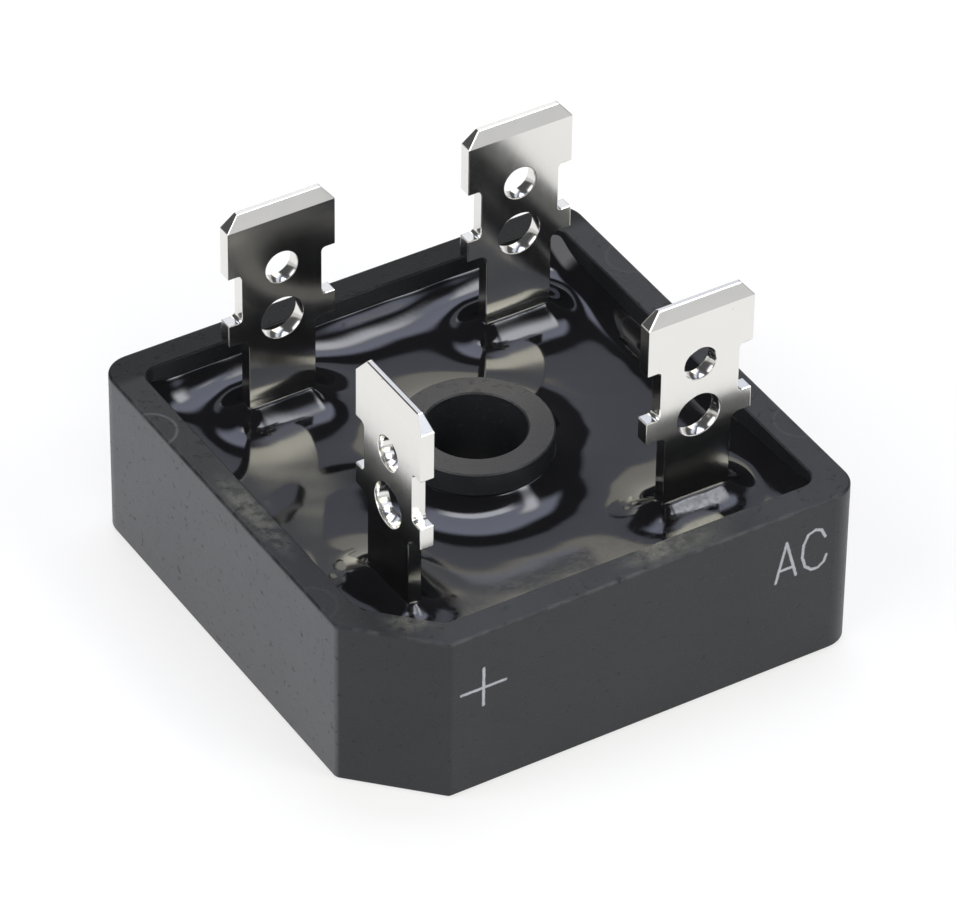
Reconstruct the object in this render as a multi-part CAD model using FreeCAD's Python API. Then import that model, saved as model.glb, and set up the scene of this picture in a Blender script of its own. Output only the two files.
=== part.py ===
import FreeCAD, Part
import math
import os

# Square potted bridge rectifier with four upright quick-connect tabs.
# Millimetres. The origin is the centre of the underside, +Z points up to the tabs.
# The marked side of the case faces -Y and the cut corner, which marks the positive tab,
# lies at -X -Y.

os.makedirs("parts", exist_ok=True)
V = FreeCAD.Vector
shortest_edge = 1e-6

# Case moulding
body_side = 28.6
body_height = 10.1
key_corner_leg = 4.17
outer_corner_radius = 1.6
key_corner_radius = 0.4
rim_width = 1.65
cavity_corner_radius = 0.9
rim_outer_edge_radius = 0.15
rim_inner_chamfer = 0.08
base_chamfer = 0.2
floor_thickness = 0.8

# Screw boss in the middle
bore_diameter = 5.4
boss_diameter = 8.2
boss_chamfer = 0.08
sleeve_wall = 0.9

# Heat-sink plate moulded into the underside, with a hidden flange that locks it
plate_thickness = 1.6
plate_border = 1.9
plate_flange_width = 0.9
plate_flange_thickness = 0.8

# Tabs: 6.3 x 0.8 quick-connect blades on narrow stems
tab_width = 6.3
tab_thickness = 0.8
tip_height = 0.85
tip_side_inset = 0.7
tip_face_inset = 0.25
notch_depth = 0.8
notch_corner_radius = 0.25
stem_width = 3.95
stem_corner_radius = 0.5
detent_hole_diameter = 1.9
wire_hole_diameter = 2.5
bend_inner_radius = 0.4
foot_length = 2.8

# Heights on the tabs, measured up from the rim of the case
tab_top_rise = 11.25
notch_top_rise = 7.53
notch_bottom_rise = 4.55
lug_bottom_rise = 3.25
detent_hole_rise = 7.22
wire_hole_rise = 3.97

# Where each tab stands, measured in from the case's sides: from the side that its face is
# turned to, and from the next side round to the middle of its stem
ac_left_setback = 5.48
ac_left_side_gap = 7.73
negative_setback = 5.5
negative_side_gap = 6.59
ac_right_setback = 5.48
ac_right_side_gap = 6.8
positive_setback = 4.99
positive_side_gap = 6.84

# Conducting frames, chips and solder inside
frame_thickness = 0.6
frame_wall_gap = 1.45
frame_boss_gap = 1.7
frame_end_margin = 0.2
chip_margin = 0.2
chip_thickness = 0.3
solder_thickness = 0.1
solder_margin = 0.2
joggle_gap = 0.6
joggle_length = 1.5

# Potting resin: flat level, and how it climbs what it wets
resin_recess = 2.2
wall_meniscus_rise = 0.7
wall_meniscus_reach = 2.0
boss_meniscus_rise = 1.15
boss_meniscus_reach = 1.8
stem_meniscus_rise = 1.2
stem_meniscus_reach = 1.8
meniscus_lip = 0.08
meniscus_steps = (0.0, 0.12, 0.3, 0.58, 1.0)
meniscus_power = 2.2
meniscus_root = 0.3
meniscus_corner_share = 0.5

# Worked-out values
half_side = body_side / 2
floor_top = plate_thickness + floor_thickness
resin_level = body_height - resin_recess
boss_radius = boss_diameter / 2
bore_radius = bore_diameter / 2
sleeve_radius = bore_radius + sleeve_wall
frame_outer = half_side - rim_width - frame_wall_gap
frame_inner = boss_radius + frame_boss_gap
frame_width = frame_outer - frame_inner
frame_middle = frame_outer - frame_width / 2
chip_side = frame_width - 2 * chip_margin
frame_end = chip_side / 2 + frame_end_margin
lower_frame_top = floor_top + frame_thickness
chip_bottom = lower_frame_top + solder_thickness
chip_top = chip_bottom + chip_thickness
upper_frame_bottom = chip_top + solder_thickness
upper_frame_top = upper_frame_bottom + frame_thickness

# Middle of each stem, the turn that points its foot inwards, and the height of its seat
tab_places = {
    "ac_left": (ac_left_side_gap - half_side, half_side - ac_left_setback, 0, lower_frame_top),
    "negative": (half_side - negative_side_gap, half_side - negative_setback, 0, upper_frame_top),
    "ac_right": (half_side - ac_right_side_gap, ac_right_setback - half_side, 180,
                 lower_frame_top),
    "positive": (positive_setback - half_side, positive_side_gap - half_side, 90,
                 lower_frame_top),
}

# Directions from the middle of the case to the middle of each chip
chip_directions = {"left": (-1, 0), "front": (0, -1), "right": (1, 0), "back": (0, 1)}


def rounded_wire(corners, radii):
    """Closed flat wire through the corners of a polygon, each rounded by its own radius."""
    rounds = []
    for i, corner in enumerate(corners):
        if radii[i] == 0:
            rounds.append((corner, None, corner))
            continue
        back = (corners[i - 1] - corner).normalize()
        ahead = (corners[(i + 1) % len(corners)] - corner).normalize()
        half_angle = back.getAngle(ahead) / 2
        tangent = radii[i] / math.tan(half_angle)
        centre = corner + (back + ahead).normalize() * (radii[i] / math.sin(half_angle))
        middle = centre + (corner - centre).normalize() * radii[i]
        rounds.append((corner + back * tangent, middle, corner + ahead * tangent))
    edges = []
    for i, (start, middle, end) in enumerate(rounds):
        if rounds[i - 1][2].distanceToPoint(start) > shortest_edge:
            edges.append(Part.makeLine(rounds[i - 1][2], start))
        if middle is not None:
            edges.append(Part.Arc(start, middle, end).toShape())
    return Part.Wire(edges)


def plan_wire(inset, corner_radius, key_radius, z):
    """The case's plan, moved inwards by an inset: a square with one corner cut off."""
    half = half_side - inset
    leg = key_corner_leg - inset * (2 - math.sqrt(2))
    corners = [V(leg - half, -half, z), V(half, -half, z), V(half, half, z), V(-half, half, z),
               V(-half, leg - half, z)]
    return rounded_wire(corners, [key_radius] + [corner_radius] * 3 + [key_radius])


def plan_block(inset, corner_radius, key_radius, bottom, top):
    """Upright block with the plan of the case, moved inwards by an inset."""
    face = Part.Face(plan_wire(inset, corner_radius, key_radius, bottom))
    return face.extrude(V(0, 0, top - bottom))


def post(radius, bottom, top):
    """Round post on the middle of the case."""
    return Part.makeCylinder(radius, top - bottom, V(0, 0, bottom))


def box(x_range, y_range, bottom, top):
    """Box between two x, two y and two z values."""
    size_x = x_range[1] - x_range[0]
    size_y = y_range[1] - y_range[0]
    return Part.makeBox(size_x, size_y, top - bottom, V(x_range[0], y_range[0], bottom))


def edges_at(shape, height, least_reach, most_reach):
    """Edges lying at one height whose furthest point in X or Y is between two distances."""
    found = []
    for edge in shape.Edges:
        bounds = edge.BoundBox
        level = max(abs(bounds.ZMin - height), abs(bounds.ZMax - height)) < shortest_edge
        reach = max(-bounds.XMin, bounds.XMax, -bounds.YMin, bounds.YMax)
        if level and least_reach < reach < most_reach:
            found.append(edge)
    return found


def case():
    """One moulding: walls, thin floor, screw boss and the seat of the plate."""
    body = plan_block(0, outer_corner_radius, key_corner_radius, 0, body_height)
    body = body.makeFillet(rim_outer_edge_radius, edges_at(body, body_height, 0, body_side))
    body = body.makeChamfer(base_chamfer, edges_at(body, 0, 0, body_side))
    cavity = plan_block(rim_width, cavity_corner_radius, cavity_corner_radius, floor_top,
                        body_height)
    body = body.cut(cavity.cut(post(boss_radius, floor_top, body_height)))
    cavity_edges = edges_at(body, body_height, half_side - 2 * rim_width,
                            half_side - rim_width / 2)
    body = body.makeChamfer(rim_inner_chamfer, cavity_edges)
    body = body.cut(plate_seat())
    body = body.cut(post(bore_radius, 0, body_height))
    boss_edges = edges_at(body, body_height, 0, boss_diameter)
    return body.makeChamfer(boss_chamfer, boss_edges)


def plate_seat():
    """Form of the plate: a face flush with the underside and a wider flange above it."""
    face = plan_block(plate_border, cavity_corner_radius, cavity_corner_radius, 0, plate_thickness)
    flange_bottom = plate_thickness - plate_flange_thickness
    flange = plan_block(plate_border - plate_flange_width, cavity_corner_radius,
                        cavity_corner_radius, flange_bottom, plate_thickness)
    return face.fuse(flange).removeSplitter().cut(post(sleeve_radius, 0, plate_thickness))


def tab_blade(bottom):
    """Flat stamped blade, X across and Y through: stem, side lugs, notches and head."""
    half = tab_width / 2
    stem = stem_width / 2
    waist = half - notch_depth
    lug_bottom = body_height + lug_bottom_rise
    notch_bottom = body_height + notch_bottom_rise
    notch_top = body_height + notch_top_rise
    right = [(stem, bottom), (stem, lug_bottom), (half, lug_bottom), (half, notch_bottom),
             (waist, notch_bottom), (waist, notch_top), (half, notch_top),
             (half, body_height + tab_top_rise)]
    radii = [0, stem_corner_radius, 0, 0, notch_corner_radius, notch_corner_radius, 0, 0]
    outline = right + [(-x, z) for x, z in reversed(right)]
    face = rounded_wire([V(x, -tab_thickness / 2, z) for x, z in outline], radii + radii[::-1])
    blade = Part.Face(face).extrude(V(0, tab_thickness, 0))
    for diameter, rise in ((detent_hole_diameter, detent_hole_rise),
                           (wire_hole_diameter, wire_hole_rise)):
        start = V(0, -tab_thickness, body_height + rise)
        blade = blade.cut(Part.makeCylinder(diameter / 2, 2 * tab_thickness, start, V(0, 1, 0)))
    return blade.cut(tip_waste())


def rectangle(half_x, half_y, z):
    """Corners of a rectangle round the Z axis at one height."""
    return [V(-half_x, -half_y, z), V(half_x, -half_y, z), V(half_x, half_y, z),
            V(-half_x, half_y, z)]


def tip_waste():
    """What a coining die takes off the end of a blade: all but a four-sided frustum."""
    top = body_height + tab_top_rise
    base = top - tip_height
    half = tab_width / 2
    through = tab_thickness / 2
    lower = rectangle(half, through, base)
    upper = rectangle(half - tip_side_inset, through - tip_face_inset, top)
    frustum = Part.makeLoft([Part.makePolygon(ring + ring[:1]) for ring in (lower, upper)],
                            True, True)
    block = Part.makeBox(tab_width, tab_thickness, tip_height, lower[0])
    return block.cut(frustum)


def tab_foot(seat):
    """Bend and foot of a tab: a strip whose side view is extruded across the stem."""
    side = -stem_width / 2
    outer = tab_thickness / 2
    toe = outer - foot_length
    top = seat + bend_inner_radius + tab_thickness
    side_view = [V(side, outer, top), V(side, outer - tab_thickness, top),
                 V(side, outer - tab_thickness, seat + tab_thickness),
                 V(side, toe, seat + tab_thickness), V(side, toe, seat), V(side, outer, seat)]
    radii = [0, 0, bend_inner_radius, 0, 0, bend_inner_radius + tab_thickness]
    return Part.Face(rounded_wire(side_view, radii)).extrude(V(stem_width, 0, 0))


def tab(seat):
    """Whole tab: its blade fused to the foot that stands on a seat height."""
    blade = tab_blade(seat + bend_inner_radius + tab_thickness)
    return blade.fuse(tab_foot(seat)).removeSplitter()


def placed(shape, name):
    """Turn a piece of a tab so that its foot points inwards, and move it to its place."""
    x, y, turn, _ = tab_places[name]
    moved = shape.copy()
    moved.rotate(V(0, 0, 0), V(0, 0, 1), turn)
    moved.translate(V(x, y, 0))
    return moved


def foot_solder(name):
    """Solder under a tab's foot, from the bend to a little short of the toe."""
    seat = tab_places[name][3]
    side = stem_width / 2 - solder_margin
    heel = -tab_thickness / 2 - bend_inner_radius
    toe = tab_thickness / 2 - foot_length + solder_margin
    return placed(box((-side, side), (toe, heel), seat, seat + solder_thickness), name)


def flat_frame(bottom):
    """Flat L-shaped frame in the -X -Y corner, reaching past the middle of both sides."""
    top = bottom + frame_thickness
    arms = box((-frame_outer, frame_end), (-frame_outer, -frame_inner), bottom, top)
    arms = arms.fuse(box((-frame_outer, -frame_inner), (-frame_outer, frame_end), bottom, top))
    return arms.removeSplitter()


def positive_frame():
    """The flat frame under two chips, cut back to follow the case's cut corner."""
    plan = plan_block(rim_width + frame_wall_gap, cavity_corner_radius, cavity_corner_radius,
                      floor_top, lower_frame_top)
    return flat_frame(floor_top).common(plan)


def joggled_frame():
    """L-shaped frame for an alternating-current tab, modelled in the +X -Y corner.

    One arm lies under the right-hand chip, and the other steps up over the front chip.
    """
    high_end = frame_end + joggle_gap
    low_start = high_end + joggle_length
    side_view = [
        (-frame_end, upper_frame_bottom), (high_end, upper_frame_bottom),
        (low_start, floor_top), (frame_outer, floor_top), (frame_outer, lower_frame_top),
        (low_start, lower_frame_top), (high_end, upper_frame_top),
        (-frame_end, upper_frame_top),
    ]
    wire = Part.makePolygon([V(x, -frame_outer, z) for x, z in side_view + side_view[:1]])
    stepped = Part.Face(wire).extrude(V(0, frame_width, 0))
    arm = box((frame_inner, frame_outer), (-frame_outer, frame_end), floor_top, lower_frame_top)
    return stepped.fuse(arm).removeSplitter()


def frames():
    """The four conducting frames, one for each tab."""
    negative = flat_frame(upper_frame_bottom)
    negative.rotate(V(0, 0, 0), V(0, 0, 1), 180)
    ac_right = joggled_frame()
    return {
        "positive": positive_frame(),
        "negative": negative,
        "ac_right": ac_right,
        "ac_left": ac_right.mirror(V(0, 0, 0), V(1, -1, 0)),
    }


def chip_stack(side):
    """A square chip and the two solder layers that hold it between two frames."""
    x = chip_directions[side][0] * frame_middle
    y = chip_directions[side][1] * frame_middle
    half = chip_side / 2
    soldered = half - solder_margin
    chip_plan = (x - half, x + half), (y - half, y + half)
    solder_plan = (x - soldered, x + soldered), (y - soldered, y + soldered)
    return {
        "chip_" + side: box(*chip_plan, chip_bottom, chip_top),
        "solder_below_chip_" + side: box(*solder_plan, lower_frame_top, chip_bottom),
        "solder_above_chip_" + side: box(*solder_plan, chip_top, upper_frame_bottom),
    }


def climb(share, rise):
    """Height of a wetting surface above the level, from the wall (0) to its foot (1)."""
    return rise * (1 - share) ** meniscus_power


def boss_meniscus():
    """Ring of resin that climbs the boss: a concave profile, revolved."""
    root = resin_level - meniscus_root
    foot = boss_radius + meniscus_lip + boss_meniscus_reach
    points = [V(foot, 0, root)]
    for share in reversed(meniscus_steps):
        reach = meniscus_lip + share * boss_meniscus_reach
        points.append(V(boss_radius + reach, 0, resin_level + climb(share, boss_meniscus_rise)))
    points.append(V(boss_radius, 0, points[-1].z))
    points.append(V(boss_radius, 0, root))
    profile = Part.Face(Part.makePolygon(points + points[:1]))
    return profile.revolve(V(0, 0, 0), V(0, 0, 1), 360)


def collar_wire(reach, height):
    """Rounded rectangle round a stem, standing off it by a reach."""
    corners = rectangle(stem_width / 2 + reach, tab_thickness / 2 + reach, height)
    return rounded_wire(corners, [reach] * len(corners))


def stem_meniscus(name):
    """Flared collar of resin round a tab's stem, lofted through rounded rectangles."""
    foot = meniscus_lip + stem_meniscus_reach
    wires = [collar_wire(foot, resin_level - meniscus_root)]
    for share in reversed(meniscus_steps):
        reach = meniscus_lip + share * stem_meniscus_reach
        wires.append(collar_wire(reach, resin_level + climb(share, stem_meniscus_rise)))
    return placed(Part.makeLoft(wires, True, True), name)


def wall_meniscus():
    """Concave edge of resin that climbs the walls: a block less a lofted bowl."""
    top = resin_level + wall_meniscus_rise
    wires = []
    for share in reversed(meniscus_steps):
        reach = meniscus_lip + share * wall_meniscus_reach
        radius = cavity_corner_radius + meniscus_corner_share * reach
        height = resin_level + climb(share, wall_meniscus_rise)
        wires.append(plan_wire(rim_width + reach, radius, radius, height))
    bowl = Part.makeLoft(wires, True, True)
    block = plan_block(rim_width, cavity_corner_radius, cavity_corner_radius,
                       resin_level - meniscus_root, top)
    return block.cut(bowl)


def potting_resin(buried):
    """The cured resin: it fills the cavity round all that is buried in it."""
    fill = plan_block(rim_width, cavity_corner_radius, cavity_corner_radius, floor_top,
                      resin_level)
    fill = fill.fuse(wall_meniscus())
    fill = fill.fuse(boss_meniscus())
    for name in tab_places:
        fill = fill.fuse(stem_meniscus(name))
    fill = fill.cut(post(boss_radius, floor_top, body_height))
    for shape in buried:
        fill = fill.cut(shape)
    return fill.removeSplitter()


def export(name, shape):
    """Write one piece as a single closed solid, and say how large it is."""
    print(name, "solids", len(shape.Solids), "valid", shape.isValid(),
          "volume", round(shape.Volume, 3))
    shape.Solids[0].exportStep(os.path.join("parts", name + ".step"))


def build():
    """Make every piece and write it."""
    pieces = {"case": case(), "heatsink_plate": plate_seat()}
    buried = {}
    for name, frame in frames().items():
        buried["frame_" + name] = frame
    for side in chip_directions:
        buried.update(chip_stack(side))
    for name, (_, _, _, seat) in tab_places.items():
        buried["solder_foot_" + name] = foot_solder(name)
        buried["terminal_" + name] = placed(tab(seat + solder_thickness), name)
    pieces["potting_resin"] = potting_resin(buried.values())
    pieces.update(buried)
    for name, shape in pieces.items():
        export(name, shape)


build()
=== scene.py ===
# %% [markdown]
# # A potted bridge rectifier
# This lesson dresses a small power part: a black moulded case filled with glossy resin, with
# four bright tabs standing in it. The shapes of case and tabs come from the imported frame, which
# stays where it is. Here they get their finishes, and the resin gets a smooth surface of its own.

# %% Load the frame
import math
import bpy
import numpy as np
from mathutils import Matrix, Vector


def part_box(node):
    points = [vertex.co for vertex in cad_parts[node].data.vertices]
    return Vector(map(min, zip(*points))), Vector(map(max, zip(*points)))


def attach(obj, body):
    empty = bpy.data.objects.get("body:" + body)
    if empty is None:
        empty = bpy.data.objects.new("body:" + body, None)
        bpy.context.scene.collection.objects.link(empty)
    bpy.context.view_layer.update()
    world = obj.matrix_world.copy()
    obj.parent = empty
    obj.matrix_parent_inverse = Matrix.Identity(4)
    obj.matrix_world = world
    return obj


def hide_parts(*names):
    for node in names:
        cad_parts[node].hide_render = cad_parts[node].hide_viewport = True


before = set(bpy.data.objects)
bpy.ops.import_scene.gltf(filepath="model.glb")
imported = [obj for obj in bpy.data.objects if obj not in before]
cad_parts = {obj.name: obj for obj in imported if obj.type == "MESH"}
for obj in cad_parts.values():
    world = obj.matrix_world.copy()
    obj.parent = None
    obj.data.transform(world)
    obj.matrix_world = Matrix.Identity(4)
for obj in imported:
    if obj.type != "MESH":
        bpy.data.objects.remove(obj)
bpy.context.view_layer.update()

print("pieces in the frame:", len(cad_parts))

# %% [markdown]
# ## Sizes
# Everything below is thought out in millimetres, because that is how such a part is drawn, and
# turned into metres only when it becomes a mesh. The sizes that the frame can tell are read from
# it, so that the looks stay fitted if the frame changes. The boss's radius, the leg of the cut
# corner and the depth of the resin's level can't be read from a box, so they are given here.

# %% Sizes in millimetres
MM = 0.001
TABS = ("terminal_positive", "terminal_negative", "terminal_ac_left", "terminal_ac_right")


def box_mm(node):
    """Lowest and highest corner of a frame piece, in millimetres."""
    return [np.array(corner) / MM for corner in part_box(node)]


half_side, _, rim_height = box_mm("case")[1]
resin_low, resin_high = box_mm("potting_resin")
resin_floor = resin_low[2]
cavity_half = resin_high[0]
rim_width = half_side - cavity_half
boss_radius = 4.1
cut_leg = 4.17
level_depth = 2.2
level = rim_height - level_depth
print("case side", round(2 * half_side, 2), "height", round(rim_height, 2),
      "cavity", round(2 * cavity_half, 2), "resin level", round(level, 2))

# %% [markdown]
# ## The camera
# A long lens from far away keeps the case's edges nearly parallel, as in a studio picture.
# A camera looks down its own -Z with +Y up, so its matrix is three columns: right, up, back.

# %% Make the camera
right = Vector((0.85437, -0.51956, 0.01065))
down = Vector((-0.31712, -0.53749, -0.78137))
ahead = Vector((0.41169, 0.66420, -0.62398))
camera_data = bpy.data.cameras.new("camera")
camera_data.sensor_width = 36.0
camera_data.lens = 254.12
camera_data.clip_start = 0.01
camera_data.clip_end = 20.0
camera = bpy.data.objects.new("camera", camera_data)
turn = Matrix((right, -down, -ahead)).transposed().to_4x4()
camera.matrix_world = Matrix.Translation(Vector((-0.142798, -0.230610, 0.225068))) @ turn
bpy.context.scene.collection.objects.link(camera)
bpy.context.scene.camera = camera
bpy.context.scene.view_settings.view_transform = "Standard"
print("camera looks down by", round(math.degrees(math.asin(-ahead.z)), 1), "degrees")

# %% [markdown]
# ## A short hand for shader nodes
# A finish is a small recipe of nodes: patterns go in, and colour, roughness and bump come out.
# Wiring them one by one is long, so this helper adds one node for each call and gives back its
# output, which goes straight into the next call.

# %% The node helper
class Recipe:
    """Adds nodes to one node tree. Numbers and colours are set on a socket, outputs are linked."""

    def __init__(self, tree):
        self.tree = tree

    def put(self, value, socket):
        """Link an output to a socket, or set the socket's own value."""
        if isinstance(value, bpy.types.NodeSocket):
            self.tree.links.new(value, socket)
        else:
            socket.default_value = value

    def node(self, kind, inputs=None, **settings):
        """Add a node, set its properties and fill its inputs by name or number."""
        made = self.tree.nodes.new(kind)
        for name, value in settings.items():
            setattr(made, name, value)
        for key, value in (inputs or {}).items():
            self.put(value, made.inputs[key])
        return made

    def math(self, operation, *values, clamp=False):
        """One step of arithmetic."""
        inputs = dict(enumerate(values))
        return self.node("ShaderNodeMath", inputs, operation=operation, use_clamp=clamp).outputs[0]

    def vector(self, operation, *values):
        """One step of arithmetic on a place or direction."""
        made = self.node("ShaderNodeVectorMath", dict(enumerate(values)), operation=operation)
        scalar = operation in ("DOT_PRODUCT", "LENGTH", "DISTANCE")
        return made.outputs["Value" if scalar else "Vector"]

    def scaled(self, vector, factor):
        """A vector times a number."""
        made = self.node("ShaderNodeVectorMath", {0: vector, "Scale": factor}, operation="SCALE")
        return made.outputs["Vector"]

    def parts(self, vector):
        """The x, y and z of a vector."""
        return self.node("ShaderNodeSeparateXYZ", {0: vector}).outputs

    def point(self, first, second):
        """A vector put together from two numbers, with 0 as the third."""
        return self.node("ShaderNodeCombineXYZ", {0: first, 1: second, 2: 0.0}).outputs[0]

    def place(self):
        """The point being shaded, in the object's own millimetres."""
        coordinates = self.node("ShaderNodeTexCoord").outputs["Object"]
        return self.scaled(coordinates, 1 / MM)

    def noise(self, vector, scale, detail=3.0, roughness=0.5):
        """Cloudy pattern between 0 and 1. The scale is in waves per millimetre."""
        inputs = {"Vector": vector, "Scale": scale, "Detail": detail, "Roughness": roughness}
        return self.node("ShaderNodeTexNoise", inputs).outputs[0]

    def swing(self, pattern, amount):
        """A pattern between 0 and 1 made to swing round 0: (pattern - 0.5) * amount."""
        return self.math("MULTIPLY", self.math("SUBTRACT", pattern, 0.5), amount)

    def pick(self, operation, values):
        """The largest (MAXIMUM) or smallest (MINIMUM) of many values."""
        picked = values[0]
        for value in values[1:]:
            picked = self.math(operation, picked, value)
        return picked

    def product(self, *values):
        """Several masks or numbers multiplied together."""
        result = values[0]
        for value in values[1:]:
            result = self.math("MULTIPLY", result, value)
        return result

    def fade(self, value, start, end):
        """0 at a start, 1 at an end, and a smooth rise between them. Either may be larger."""
        inputs = {"Value": value, 1: start, 2: end}
        return self.node("ShaderNodeMapRange", inputs, interpolation_type="SMOOTHSTEP").outputs[0]

    def blend(self, amount, low, high):
        """A number between two numbers."""
        inputs = {"Value": amount, 3: low, 4: high}
        return self.node("ShaderNodeMapRange", inputs).outputs[0]

    def colour(self, amount, low, high):
        """A colour between two colours."""
        made = self.node("ShaderNodeMix", {0: amount, 6: low, 7: high}, data_type="RGBA")
        return made.outputs[2]

    def bump(self, height, depth, before=None):
        """Tilts the surface as if it had a relief of that depth, in millimetres."""
        inputs = {"Height": height, "Distance": depth * MM, "Strength": 1.0}
        if before is not None:
            inputs["Normal"] = before
        return self.node("ShaderNodeBump", inputs).outputs[0]


def new_finish(name):
    """A new material with its recipe and its principled shader."""
    material = bpy.data.materials.new(name)
    material.use_nodes = True
    recipe = Recipe(material.node_tree)
    return material, recipe, material.node_tree.nodes["Principled BSDF"]


def wear(piece, material):
    """Give a piece one material: in each slot it has, or in a first slot of its own."""
    if not piece.material_slots:
        piece.data.materials.append(material)
    for slot in piece.material_slots:
        slot.material = material


print("node helper ready")

# %% [markdown]
# ## The room
# Black gloss shows nothing of its own: what the eye reads as resin is the room in a dark mirror.
# So the room is drawn as softboxes on a dark surround. Each one is a window in the sky, given by
# its direction (degrees round from behind the part towards the right, and degrees up), its half
# sizes in degrees, the softness of its edge, and its colour times strength. Where two overlap, the
# brighter one counts. Low down a glow stands for pale floor and walls beyond the part's
# surroundings. The camera itself sees plain white.

# %% Draw the softboxes in the sky
SOFTBOXES = {
    "back_card": (31, 37, 21, 6.6, 0.2, (0.80, 0.85, 1.0)),
    "low_backdrop": (22, 22.5, 11, 13.4, 0.12, (2.0, 1.95, 1.75)),
    "blue_overhead": (40, 66, 18, 12, 0.25, (2.5, 2.65, 3.35)),
    "right_window": (80, 64, 8, 3.0, 0.7, (8.0, 8.2, 8.8)),
    "zenith_window": (40, 77, 13, 3.0, 0.4, (8.0, 8.2, 9.0)),
    "front_low": (154, 15, 10, 9, 0.2, (5.0, 4.9, 4.4)),
    "front_high": (140, 46.8, 8, 6.0, 0.1, (8.0, 7.9, 7.0)),
    "front_card": (146, 34, 26, 9.5, 0.2, (0.95, 1.0, 1.15)),
    "front_overhead": (130, 58, 9, 6, 0.3, (2.2, 2.3, 2.9)),
    "left_fill": (272, 36, 26, 22, 0.3, (2.8, 2.8, 2.9)),
    "front_fill": (194, 26, 18, 16, 0.3, (3.0, 3.05, 3.2)),
}
SURROUND = (0.08, 0.08, 0.084)
HORIZON_GLOW = (0.72, 0.70, 0.66)
GLOW_FULL, GLOW_GONE = math.radians(2), math.radians(9)
LEAST_ALONG = 0.05


def direction(azimuth, elevation):
    """Unit vector at an azimuth from +Y towards +X and an elevation, both in degrees."""
    a, e = math.radians(azimuth), math.radians(elevation)
    return (math.sin(a) * math.cos(e), math.cos(a) * math.cos(e), math.sin(e))


def softbox(recipe, sky, azimuth, elevation, half_width, half_height, softness):
    """1 inside a rectangular window of the sky and 0 outside, with a soft edge.

    The direction is divided by its part along the window's middle, which gives flat coordinates
    on the window's plane. Each is compared with the tangent of the half size. Directions that
    point away from the window are left out, since they would give the same coordinates.
    """
    along = recipe.vector("DOT_PRODUCT", sky, direction(azimuth, elevation))
    mask = recipe.math("GREATER_THAN", along, LEAST_ALONG)
    side = direction(azimuth + 90, 0)
    up = direction(azimuth, elevation + 90)
    for axis, half in ((side, half_width), (up, half_height)):
        offset = recipe.vector("DOT_PRODUCT", sky, axis)
        flat = recipe.math("ABSOLUTE", recipe.math("DIVIDE", offset, along))
        reach = math.tan(math.radians(half))
        inside = recipe.fade(flat, reach * (1 + softness), reach * (1 - softness))
        mask = recipe.math("MULTIPLY", mask, inside)
    return mask


world = bpy.data.worlds.new("studio")
bpy.context.scene.world = world
world.use_nodes = True
room = Recipe(world.node_tree)
sky = room.node("ShaderNodeTexCoord").outputs["Generated"]
light = SURROUND
for *window, tint in SOFTBOXES.values():
    light = room.vector("MAXIMUM", light, room.scaled(tint, softbox(room, sky, *window)))
horizon = room.fade(room.parts(sky)[2], math.sin(GLOW_GONE), math.sin(GLOW_FULL))
light = room.vector("MAXIMUM", light, room.scaled(HORIZON_GLOW, horizon))
seen = room.node("ShaderNodeLightPath").outputs["Is Camera Ray"]
background = world.node_tree.nodes["Background"]
room.put(room.colour(seen, light, (1.0, 1.0, 1.0, 1.0)), background.inputs["Color"])
print("softboxes:", ", ".join(SOFTBOXES))

# %% [markdown]
# ## The floor
# The floor is a plain pale sheet. It is lit by the softboxes, and what they leave out up to white
# is added only for the eye and for mirrors, so the light on the part stays as it is and the
# floor still holds the part's shadow. Mirrors see it dimmer further away, as the studio's light
# falls off there.

# %% Lay the floor
FLOOR_REACH = 3.0
FLOOR_GREY = 0.35
FLOOR_GLOW = 0.66
FADE_START, FADE_END, FAR_SHARE = 0.06, 0.16, 0.4

floor_mesh = bpy.data.meshes.new("floor")
square = ((-1, -1), (1, -1), (1, 1), (-1, 1))
corners = [(FLOOR_REACH * side_x, FLOOR_REACH * side_y, 0) for side_x, side_y in square]
floor_mesh.from_pydata(corners, [], [(0, 1, 2, 3)])
floor = bpy.data.objects.new("floor", floor_mesh)
bpy.context.scene.collection.objects.link(floor)

floor_finish, recipe, shader = new_finish("floor_paper")
shader.inputs["Base Color"].default_value = (FLOOR_GREY, FLOOR_GREY, FLOOR_GREY, 1.0)
shader.inputs["Roughness"].default_value = 1.0
shader.inputs["Specular IOR Level"].default_value = 0.0
path = recipe.node("ShaderNodeLightPath").outputs
away = recipe.vector("LENGTH", recipe.node("ShaderNodeTexCoord").outputs["Object"])
dimming = recipe.blend(recipe.fade(away, FADE_START, FADE_END), 1.0, FAR_SHARE)
mirrored = recipe.product(path["Is Glossy Ray"], dimming)
watched = recipe.math("ADD", path["Is Camera Ray"], mirrored)
watched = recipe.math("ADD", watched, path["Is Transmission Ray"], clamp=True)
recipe.put(recipe.product(watched, FLOOR_GLOW), shader.inputs["Emission Strength"])
shader.inputs["Emission Color"].default_value = (1.0, 0.995, 0.98, 1.0)
wear(floor, floor_finish)
print("floor reach in metres:", FLOOR_REACH)

# %% [markdown]
# ## The case
# The case is a black thermosetting moulding, harder and duller than the resin. Its patterns have
# three scales: a fine grain, small dark pits, and broad cloudy changes of sheen where hands and
# release wax have been.

# %% Patterns of the case
case_finish, recipe, shader = new_finish("case_moulding")
place = recipe.place()
x, y, z = recipe.parts(place)
plan = recipe.point(x, y)

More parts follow.
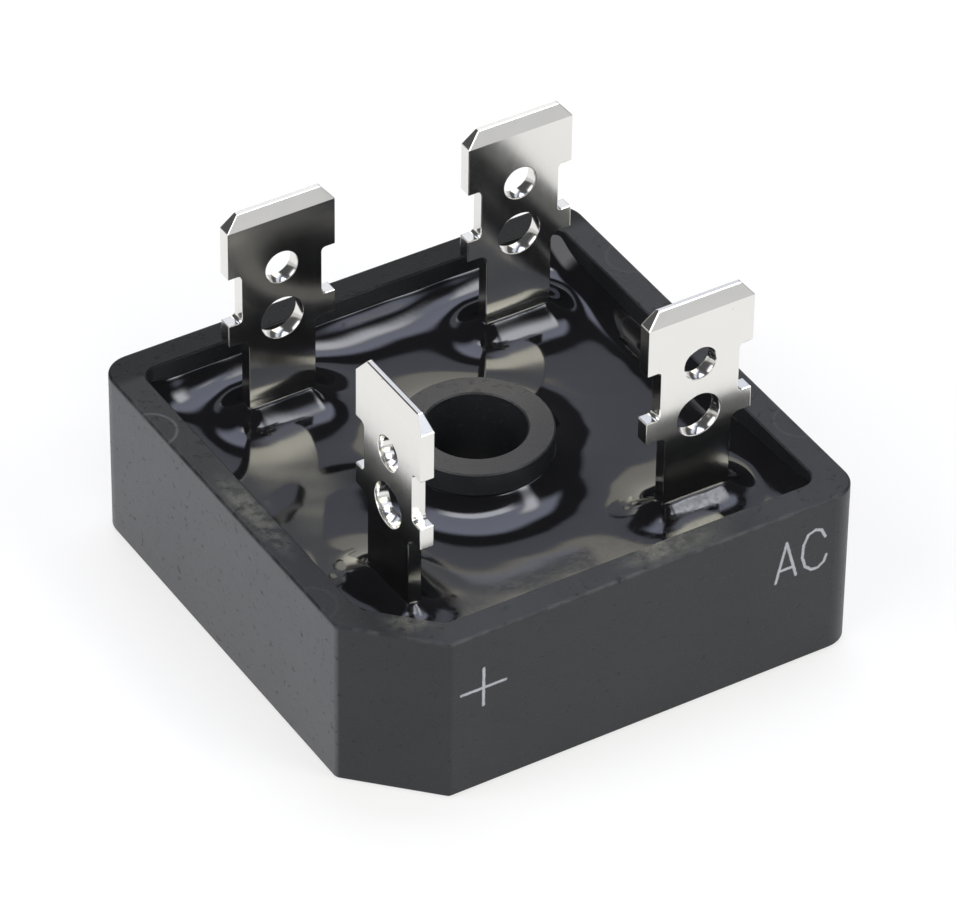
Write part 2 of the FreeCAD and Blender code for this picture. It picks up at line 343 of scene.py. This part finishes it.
clouds = recipe.noise(place, 0.22, detail=3.0)
mottle = recipe.noise(place, 1.6, detail=4.0, roughness=0.6)
grain = recipe.noise(place, 8.0, detail=3.0, roughness=0.65)
pits = recipe.fade(recipe.noise(place, 2.3, detail=3.0, roughness=0.75), 0.395, 0.325)
print("case patterns: clouds, mottle, grain and pits")

# %% [markdown]
# The rim shows how the case was made and filled. Ejector pins leave faint rings, some clearer
# than others, whose middles lie just outside the case, so that only arcs are seen. Resin that ran
# over leaves smears, which are soft ellipses broken up by the mottle; their pale beige is also a
# painted reflection of the nearby tabs. At the back, and less at the left, the rim is made darker.

# %% Marks on the rim
PIN_RINGS = [(-14.6, 8.1, 0.4), (-14.6, -8.1, 0.08), (14.6, 8.1, 0.12), (14.6, -8.1, 0.12)]
PIN_RADIUS = 1.38
SMEARS_AND_REFLECTIONS = [((-13.4, -0.6), (0.9, 4.6)), ((2.9, -13.2), (3.4, 1.1)), ((-10.6, -11.4), (2.0, 1.6))]

on_rim = recipe.fade(z, rim_height - 0.12, rim_height - 0.02)
lines = []
for ring_x, ring_y, clearness in PIN_RINGS:
    off = recipe.math("SUBTRACT", recipe.vector("DISTANCE", plan, (ring_x, ring_y, 0)), PIN_RADIUS)
    line = recipe.fade(recipe.math("ABSOLUTE", off), 0.13, 0.02)
    lines.append(recipe.product(line, recipe.blend(mottle, 0.4 * clearness, 1.6 * clearness)))
rings = recipe.product(recipe.pick("MAXIMUM", lines), on_rim)

patches = []
for (patch_x, patch_y), (reach_x, reach_y) in SMEARS_AND_REFLECTIONS:
    off_x = recipe.math("DIVIDE", recipe.math("SUBTRACT", x, patch_x), reach_x)
    off_y = recipe.math("DIVIDE", recipe.math("SUBTRACT", y, patch_y), reach_y)
    patches.append(recipe.fade(recipe.vector("LENGTH", recipe.point(off_x, off_y)), 1.0, 0.35))
near_rim = recipe.fade(z, rim_height - 1.2, rim_height - 0.1)
# Painted reflection: the smears' beige also stands for the nearby tabs mirrored in them.
smears_and_reflection = recipe.product(recipe.pick("MAXIMUM", patches), recipe.fade(mottle, 0.36, 0.62), near_rim)

# The rim's top is made darker towards the back and a little at the left, and reflects less there.
darker_back = recipe.fade(y, half_side - 2.8, half_side - 1.6)
darker_left = recipe.product(recipe.fade(x, 2.8 - half_side, 1.6 - half_side), 0.4)
darker_rim = recipe.product(recipe.math("MAXIMUM", darker_back, darker_left), on_rim)
print("pin rings:", len(lines), "smears:", len(patches))

# %% [markdown]
# The left side is painted paler with a mottled sheen: a painted sheen standing for the pale floor
# that this side mirrors at a grazing angle. Dust lies on the boss's top, where the surface faces
# up and is near the middle. The upper outer edge is worn a little paler: the distance that counts
# there is the largest of three, outwards along X, outwards along Y and towards the cut corner, the
# last one shifted so that all three reach half the case's side at the outer faces.

# %% Painted sheen, dust and worn edges
# Painted sheen: the left outer face is made paler, in place of the pale floor it mirrors.
painted_left_sheen = recipe.product(recipe.fade(x, -half_side + 0.16, -half_side + 0.02),
                       recipe.blend(mottle, 0.45, 1.05),
                       recipe.fade(z, rim_height - 0.05, rim_height - 0.3))

facing_up = recipe.parts(recipe.node("ShaderNodeNewGeometry").outputs["True Normal"])[2]
boss_top = recipe.product(recipe.fade(recipe.vector("LENGTH", plan), 4.7, 4.4),
                          recipe.fade(facing_up, 0.6, 0.9))
dust = recipe.math("MULTIPLY", boss_top, recipe.blend(grain, 0.1, 1.1), clamp=True)

cut_distance = half_side * math.sqrt(2) - cut_leg / math.sqrt(2)
towards_cut = recipe.product(recipe.math("ADD", x, y), math.sqrt(0.5))
outwards = recipe.pick("MAXIMUM", [
    recipe.math("ABSOLUTE", x), recipe.math("ABSOLUTE", y),
    recipe.math("SUBTRACT", half_side - cut_distance, towards_cut)])
worn = recipe.product(recipe.fade(outwards, half_side - 0.24, half_side - 0.06),
                      recipe.fade(z, rim_height - 0.26, rim_height - 0.06),
                      recipe.fade(recipe.noise(place, 1.1, detail=4.0), 0.42, 0.62))
print("cut corner from the middle:", round(cut_distance, 2))

# %% [markdown]
# The generic terminal signs are pale engraved strokes on the front face. Each sign is a set of
# lines between points (X and Z in millimetres), and the ink lies where the nearest line is close.
# The grain shifts that distance a little, so the strokes get rough edges.

# %% Strokes of the terminal signs
FRONT_STROKES = {
    "plus": [[(-9.49, 6.53), (-6.91, 6.53)], [(-8.2, 7.78), (-8.2, 5.4)]],
    "first_letter": [[(9.18, 5.9), (9.76, 8.3)], [(9.76, 8.3), (10.4, 5.98)],
                     [(9.37, 6.6), (10.2, 6.6)]],
    "second_letter": [[(12.12, 7.8), (11.86, 8.32), (11.5, 8.46), (11.06, 8.3), (10.8, 7.7),
                       (10.76, 6.95), (10.95, 6.28), (11.35, 5.92), (11.75, 5.9), (12.1, 6.15),
                       (12.24, 6.55)]],
}


def stroke_distance(recipe, point, start, end):
    """Distance from a point to a straight stroke between two points.

    The point is projected onto the stroke, and the share along it is kept between 0 and 1.
    """
    from_start = recipe.vector("SUBTRACT", point, (*start, 0))
    run = (end[0] - start[0], end[1] - start[1], 0)
    share = recipe.math("DIVIDE", recipe.vector("DOT_PRODUCT", from_start, run),
                        run[0] ** 2 + run[1] ** 2, clamp=True)
    return recipe.vector("DISTANCE", from_start, recipe.scaled(run, share))


front_point = recipe.point(x, z)
distances = [stroke_distance(recipe, front_point, start, end)
             for sign in FRONT_STROKES.values() for run in sign
             for start, end in zip(run[:-1], run[1:])]
rough_edge = recipe.math("ADD", recipe.pick("MINIMUM", distances), recipe.swing(grain, 0.09))
ink = recipe.product(recipe.fade(rough_edge, 0.115, 0.05),
                     recipe.fade(y, -half_side + 0.25, -half_side + 0.1),
                     recipe.blend(mottle, 0.65, 1.1))
print("strokes:", len(distances))

# %% [markdown]
# Now the marks are laid over the black one after the other, each as an amount and a colour. The
# paler left side is painted sheen, and the smears' beige is partly painted reflection. Smears make
# the surface smoother, ink makes it duller, and the rim's darker part at the back and left
# reflects less.

# %% Mix the case finish
CASE_MARKS = {
    # painted sheen on the left side
    "painted_left_sheen": (painted_left_sheen, (0.094, 0.097, 0.106, 1)),
    "pits": (recipe.product(pits, 0.8), (0.004, 0.004, 0.004, 1)),
    # the rim's top darker at the back and the left
    "darker_back_and_left": (darker_rim, (0.004, 0.0045, 0.005, 1)),
    "pin_rings": (rings, (0.13, 0.13, 0.13, 1)),
    # resin smears, their beige partly a painted reflection of the tabs
    "smears_and_reflection": (recipe.product(smears_and_reflection, 0.6), (0.12, 0.118, 0.10, 1)),
    "dust": (dust, (0.055, 0.051, 0.044, 1)),
    "worn_edge": (recipe.product(worn, 0.4), (0.07, 0.07, 0.07, 1)),
    "ink": (ink, (0.56, 0.57, 0.60, 1)),
}
shade = recipe.math("ADD", clouds, recipe.swing(grain, 1.0), clamp=True)
black = recipe.colour(shade, (0.009, 0.0102, 0.0125, 1), (0.022, 0.0235, 0.026, 1))
for amount, tint in CASE_MARKS.values():
    black = recipe.colour(amount, black, tint)
recipe.put(black, shader.inputs["Base Color"])

dullness = recipe.math("ADD", recipe.blend(clouds, 0.36, 0.46), recipe.swing(mottle, 0.12))
dullness = recipe.math("SUBTRACT", dullness, recipe.product(smears_and_reflection, 0.15))
dullness = recipe.math("ADD", dullness, recipe.product(ink, 0.25), clamp=True)
recipe.put(dullness, shader.inputs["Roughness"])
recipe.put(recipe.blend(darker_rim, 0.42, 0.2), shader.inputs["Specular IOR Level"])

relief = recipe.bump(grain, 0.012)
relief = recipe.bump(recipe.product(pits, -1.0), 0.02, relief)
recipe.put(relief, shader.inputs["Normal"])
wear(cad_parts["case"], case_finish)
print("case marks:", ", ".join(CASE_MARKS), "on", len(case_finish.node_tree.nodes), "nodes")

# %% [markdown]
# ## The resin
# Liquid resin wets what stands in it and climbs a little, and then sets. The height it climbs
# dies away from each wall about as an exponential, so the whole surface is a sum of such
# curves: one for each wall, one round the boss and one round each stem.
# The mesh is a ring: one parameter runs round the boss, the other from the boss to the wall.
# The cavity's cut corner has a shorter leg than the case's, since the wall is equally thick all
# round.

# %% Outline of the cavity
FACINGS = (0, 90, 180, 270, 225)
KEY_LEG = cut_leg - (2 - math.sqrt(2)) * rim_width
KEY_DISTANCE = cavity_half * math.sqrt(2) - KEY_LEG / math.sqrt(2)
CORNER_POWER = 44


def wall_distance(facing):
    """How far a wall is from the middle: the cut corner at 225 degrees has its own distance."""
    return KEY_DISTANCE if facing == 225 else cavity_half


def cavity_outline(angles):
    """Distance from the middle to the cavity's wall in each direction.

    The wall is the nearest of five flat sides: four at the same distance, and the cut corner,
    whose side is nearer than the square's corner by its leg over the root of two. The smooth
    minimum of the five rounds the corners.
    """
    share = 0
    for facing in FACINGS:
        lean = np.maximum(np.cos(angles - math.radians(facing)), 0)
        share = share + (lean / wall_distance(facing)) ** CORNER_POWER
    return share ** (-1 / CORNER_POWER)


ROUND_STEPS = 820
ACROSS_STEPS = 110
angles = np.linspace(0, 2 * np.pi, ROUND_STEPS, endpoint=False)
wall_radius = cavity_outline(angles)
print("cavity from the middle:", round(wall_radius.min(), 2), "to", round(wall_radius.max(), 2))

# %% [markdown]
# The stems stand in the resin as flat rectangles. Each tab's place is read from its frame piece:
# the blade is as wide as its box, and its outer face is the side of the box that lies further
# from the middle, because the hidden foot points inwards.

# %% Find the stems
STEM_WIDTH = 3.95
BLADE_THICKNESS = 0.8
BLADE_WIDTH = 6.3
SAME_SIZE = 0.01


def stem_of(node):
    """Middle of a stem, and whether it is wide along X (0) or along Y (1)."""
    low, high = box_mm(node)
    wide = 0 if abs(high[0] - low[0] - BLADE_WIDTH) < SAME_SIZE else 1
    thin = 1 - wide
    outer = high[thin] if abs(high[thin]) > abs(low[thin]) else low[thin]
    middle = (low[:2] + high[:2]) / 2
    middle[thin] = outer - math.copysign(BLADE_THICKNESS / 2, outer)
    return middle, wide


stems = {node: stem_of(node) for node in TABS}
for node, (middle, wide) in stems.items():
    print(node, "middle", np.round(middle, 2), "wide along", "XY"[wide])

# %% [markdown]
# Each wall has its own climb, since resin is poured at one corner and drawn up by whatever it
# meets. A climb is the way the wall lies in degrees from +X towards +Y, the rise at the wall, and
# the distance over which it falls off. The power makes the curve a little fuller near the wall and
# lets it end sooner. A little unevenness goes over everything, because a set surface is never
# quite calm.

# %% Height of the resin
CLIMB_POWER = 1.25
WALL_CLIMBS = [(0, 1.0, 0.75), (90, 1.1, 1.33), (180, 0.30, 0.9), (270, 0.65, 2.9),
               (225, 0.4, 0.9)]
BOSS_CLIMB = (0.9, 1.35)
STEM_CLIMB = (0.92, 1.3)
UNEVEN_SHARE, RIPPLE = 0.03, 0.003
LEAST_FREEBOARD = 0.1


def climb(away, rise, fall):
    """Height added at a distance from a wetted wall."""
    return rise * np.exp(-(np.maximum(away, 0) / fall) ** CLIMB_POWER)


def swell(x, y):
    """Sum of a few long waves between about -1 and 1, for uneven wetting."""
    return (np.sin(0.9 * x + 0.5 * y + 1.0) + np.sin(0.35 * x - 1.1 * y + 2.3)
            + 0.6 * np.sin(1.7 * x + 1.3 * y)) / 2.6


def stem_gap(x, y, middle, wide):
    """Distance from a stem, taken as a flat bar with round ends.

    A place beyond the end of the bar's middle line is measured from that end, any other from
    the line itself, and then half the bar's thickness comes off.
    """
    offset = x - middle[0], y - middle[1]
    beyond = np.maximum(np.abs(offset[wide]) - (STEM_WIDTH - BLADE_THICKNESS) / 2, 0)
    return np.hypot(beyond, offset[1 - wide]) - BLADE_THICKNESS / 2


def resin_height(x, y):
    """Height of the surface: the level plus one climb for each wetted wall, boss and stem."""
    added = np.zeros_like(x)
    for facing, rise, fall in WALL_CLIMBS:
        f = math.radians(facing)
        away = wall_distance(facing) - x * math.cos(f) - y * math.sin(f)
        added = added + climb(away, rise, fall)
    added = added + climb(np.hypot(x, y) - boss_radius, *BOSS_CLIMB)
    for middle, wide in stems.values():
        added = added + climb(stem_gap(x, y, middle, wide), *STEM_CLIMB)
    height = level + added * (1 + UNEVEN_SHARE * swell(x, y)) + RIPPLE * swell(2.1 * y, 1.7 * x)
    return np.minimum(height, rim_height - LEAST_FREEBOARD)


print("height half way along the back wall:",
      np.round(resin_height(np.zeros(3), cavity_half - np.array([0.0, 1.0, 3.0])), 2))

# %% [markdown]
# ## A mesh from a grid
# Numpy works out all places at once as a grid of rows, and one helper joins neighbours in the
# grid to four-sided faces. Where a grid closes on itself, its last row or column joins the first.

# %% Mesh helper
def mesh_from_grid(name, places, wrap_rows=False, wrap_columns=False):
    """A smooth mesh object from places in millimetres, shaped (rows, columns, 3)."""
    rows, columns = places.shape[:2]
    index = np.arange(rows * columns).reshape(rows, columns)
    if wrap_rows:
        index = np.vstack([index, index[:1]])
    if wrap_columns:
        index = np.hstack([index, index[:, :1]])
    faces = np.stack([index[:-1, :-1], index[1:, :-1], index[1:, 1:], index[:-1, 1:]], axis=-1)
    faces = faces.reshape(-1, 4)
    mesh = bpy.data.meshes.new(name)
    mesh.vertices.add(rows * columns)
    mesh.vertices.foreach_set("co", (places * MM).astype(np.float32).ravel())
    mesh.loops.add(faces.size)
    mesh.loops.foreach_set("vertex_index", faces.astype(np.int32).ravel())
    mesh.polygons.add(len(faces))
    mesh.polygons.foreach_set("loop_start", np.arange(0, faces.size, 4, dtype=np.int32))
    mesh.update(calc_edges=True)
    mesh.polygons.foreach_set("use_smooth", np.ones(len(faces), dtype=bool))
    mesh.validate()
    piece = bpy.data.objects.new(name, mesh)
    bpy.context.scene.collection.objects.link(piece)
    print(name, "faces", len(faces))
    return piece


# %% [markdown]
# Across the ring the steps are drawn together near the boss and the wall, where the surface bends
# most, with one very narrow step at each end. The shell then goes down to the resin's floor.

# %% Cast the resin
CROWDING = 0.45
END_STEP = 0.0008
step = np.linspace(0, 1, ACROSS_STEPS)
share = step - CROWDING * np.sin(2 * np.pi * step) / (2 * np.pi)
share = np.concatenate([[0.0, END_STEP], share[1:-1], [1 - END_STEP, 1.0]])[:, None]
radius = boss_radius * (1 - share) + wall_radius[None, :] * share
x, y = radius * np.cos(angles), radius * np.sin(angles)
surface = np.stack([x, y, resin_height(x, y)], axis=-1)
under_boss, under_wall = surface[:1].copy(), surface[-1:].copy()
under_boss[..., 2] = under_wall[..., 2] = resin_floor
shell = np.concatenate([under_boss, surface, under_wall])
resin = mesh_from_grid("resin_surface", shell, wrap_rows=True, wrap_columns=True)
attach(resin, "root")
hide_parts("potting_resin")
print("resin from", round(surface[..., 2].min(), 2), "to", round(surface[..., 2].max(), 2))

# %% [markdown]
# The resin's finish is almost all reflection: a near-black base, a low roughness, and very faint
# waves. Near the front wall a thin dull film takes some of the mirror away.

# %% Mix the resin finish
resin_finish, recipe, shader = new_finish("potting_resin_gloss")
place = recipe.place()
x, y, z = recipe.parts(place)
slow = recipe.noise(place, 0.5, detail=2.0)
fine = recipe.noise(place, 4.0, detail=4.0, roughness=0.6)
near_front = recipe.fade(y, -cavity_half + 4.6, -cavity_half + 2.4)
film = recipe.product(near_front, recipe.fade(fine, 0.42, 0.62))
near_black = recipe.colour(slow, (0.0035, 0.0035, 0.004, 1), (0.007, 0.007, 0.008, 1))
gloss = recipe.math("ADD", recipe.blend(slow, 0.045, 0.075), recipe.product(film, 0.10))
recipe.put(near_black, shader.inputs["Base Color"])
recipe.put(gloss, shader.inputs["Roughness"])
recipe.put(recipe.bump(fine, 0.0006, recipe.bump(slow, 0.002)), shader.inputs["Normal"])
wear(resin, resin_finish)
print("resin finish nodes:", len(resin_finish.node_tree.nodes))

# %% [markdown]
# ## The tabs
# The blades are punched from brass strip and plated bright. Punching leaves a slight roll on
# every edge, and it is this narrow roll that catches the light as a thin line. The frame's blades
# have knife edges, so each is copied, its loose triangles are joined, and a small bevel is added.
# Only small faces that turn gently into two neighbours, as in the holes, are shaded smooth: a
# flat face must stay flat, or it mirrors the room as if it were dented.

# %% Round the edges of the tabs
import bmesh

EDGE_ROLL = 0.05
SAME_PLACE = 0.001
SAME_PLANE = math.radians(0.5)
LEAST_TURN, MOST_TURN = math.radians(1), math.radians(25)
MOST_AREA = 1.5 * MM ** 2


def rolled_copy(node):
    """A merged copy of a frame piece with narrow rounded edges, which stands for that piece."""
    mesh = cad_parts[node].data.copy()
    work = bmesh.new()
    work.from_mesh(mesh)
    bmesh.ops.remove_doubles(work, verts=work.verts, dist=SAME_PLACE * MM)
    bmesh.ops.dissolve_limit(work, angle_limit=SAME_PLANE, verts=work.verts, edges=work.edges)
    for face in work.faces:
        gentle = [LEAST_TURN < edge.calc_face_angle(0) < MOST_TURN for edge in face.edges]
        face.smooth = sum(gentle) >= 2 and face.calc_area() < MOST_AREA
    work.to_mesh(mesh)
    work.free()
    piece = bpy.data.objects.new("blade_" + node, mesh)
    bpy.context.scene.collection.objects.link(piece)
    bevel = piece.modifiers.new("edge_roll", "BEVEL")
    bevel.width = EDGE_ROLL * MM
    bevel.segments = 2
    bevel.limit_method = "ANGLE"
    bevel.angle_limit = MOST_TURN
    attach(piece, "root")
    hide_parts(node)
    return piece


blades = [rolled_copy(node) for node in TABS]
print("blades:", [(b.name, len(b.data.polygons)) for b in blades])

# %% [markdown]
# Bright plating is a soft mirror with a warm tint. Rolling the strip leaves very faint streaks
# along it, handling leaves cloudy spots, and the plating is a little uneven.

# %% Mix the plating
plated, recipe, shader = new_finish("bright_plating")
place = recipe.place()
stretch = recipe.node("ShaderNodeMapping", {"Vector": place, "Scale": (3.0, 3.0, 0.25)})
streaks = recipe.noise(stretch.outputs[0], 1.4, detail=4.0, roughness=0.6)
clouds = recipe.noise(place, 0.55, detail=3.0)
specks = recipe.fade(recipe.noise(place, 5.0, detail=1.0), 0.24, 0.18)
shader.inputs["Metallic"].default_value = 1.0
metal = recipe.colour(clouds, (0.77, 0.76, 0.725, 1), (0.81, 0.80, 0.765, 1))
metal = recipe.colour(recipe.product(specks, 0.6), metal, (0.32, 0.30, 0.27, 1))
roughness = recipe.math("ADD", recipe.blend(clouds, 0.09, 0.15), recipe.product(streaks, 0.05))
recipe.put(metal, shader.inputs["Base Color"])
recipe.put(roughness, shader.inputs["Roughness"])
recipe.put(recipe.bump(streaks, 0.0005, recipe.bump(clouds, 0.0012)), shader.inputs["Normal"])
for blade in blades:
    wear(blade, plated)
print("plating nodes:", len(plated.node_tree.nodes))

# %% [markdown]
# ## What lies underneath and inside
# The plate in the underside is rolled metal with fine parallel lines. The frames, chips and
# solder are sealed in the resin, but each still gets its own finish, so that the part can be
# opened up or cut through and look right.

# %% Mix a plain metal or chip finish
def inner_finish(name, low, high, metallic, roughness, stretch, scale, depth):
    """A finish whose colour, roughness and relief all follow one stretched cloudy pattern."""
    material, recipe, shader = new_finish(name)
    mapped = recipe.node("ShaderNodeMapping", {"Vector": recipe.place(), "Scale": stretch})
    pattern = recipe.noise(mapped.outputs[0], scale, detail=4.0, roughness=0.6)
    recipe.put(recipe.colour(pattern, (*low, 1), (*high, 1)), shader.inputs["Base Color"])
    recipe.put(recipe.blend(pattern, *roughness), shader.inputs["Roughness"])
    recipe.put(recipe.bump(pattern, depth), shader.inputs["Normal"])
    shader.inputs["Metallic"].default_value = metallic
    return material


INNER_FINISHES = {
    "heatsink_plate": inner_finish("rolled_plate", (0.55, 0.55, 0.56), (0.74, 0.74, 0.75), 1.0,
                                   (0.28, 0.45), (0.15, 4.0, 1.0), 2.2, 0.004),
    "frame": inner_finish("copper_strip", (0.66, 0.36, 0.25), (0.80, 0.50, 0.37), 1.0,
                          (0.25, 0.42), (2.0, 0.4, 1.0), 1.6, 0.004),
    "chip": inner_finish("silicon_chip", (0.10, 0.105, 0.13), (0.16, 0.165, 0.20), 0.6,
                         (0.08, 0.16), (1.0, 1.0, 1.0), 3.0, 0.001),
    "solder": inner_finish("solder_joint", (0.42, 0.42, 0.43), (0.60, 0.60, 0.61), 1.0,
                           (0.30, 0.55), (1.0, 1.0, 1.0), 2.6, 0.006),
}
for node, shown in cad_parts.items():
    for start, finish in INNER_FINISHES.items():
        if node.startswith(start):
            wear(shown, finish)
print("inner finishes:", ", ".join(finish.name for finish in INNER_FINISHES.values()))
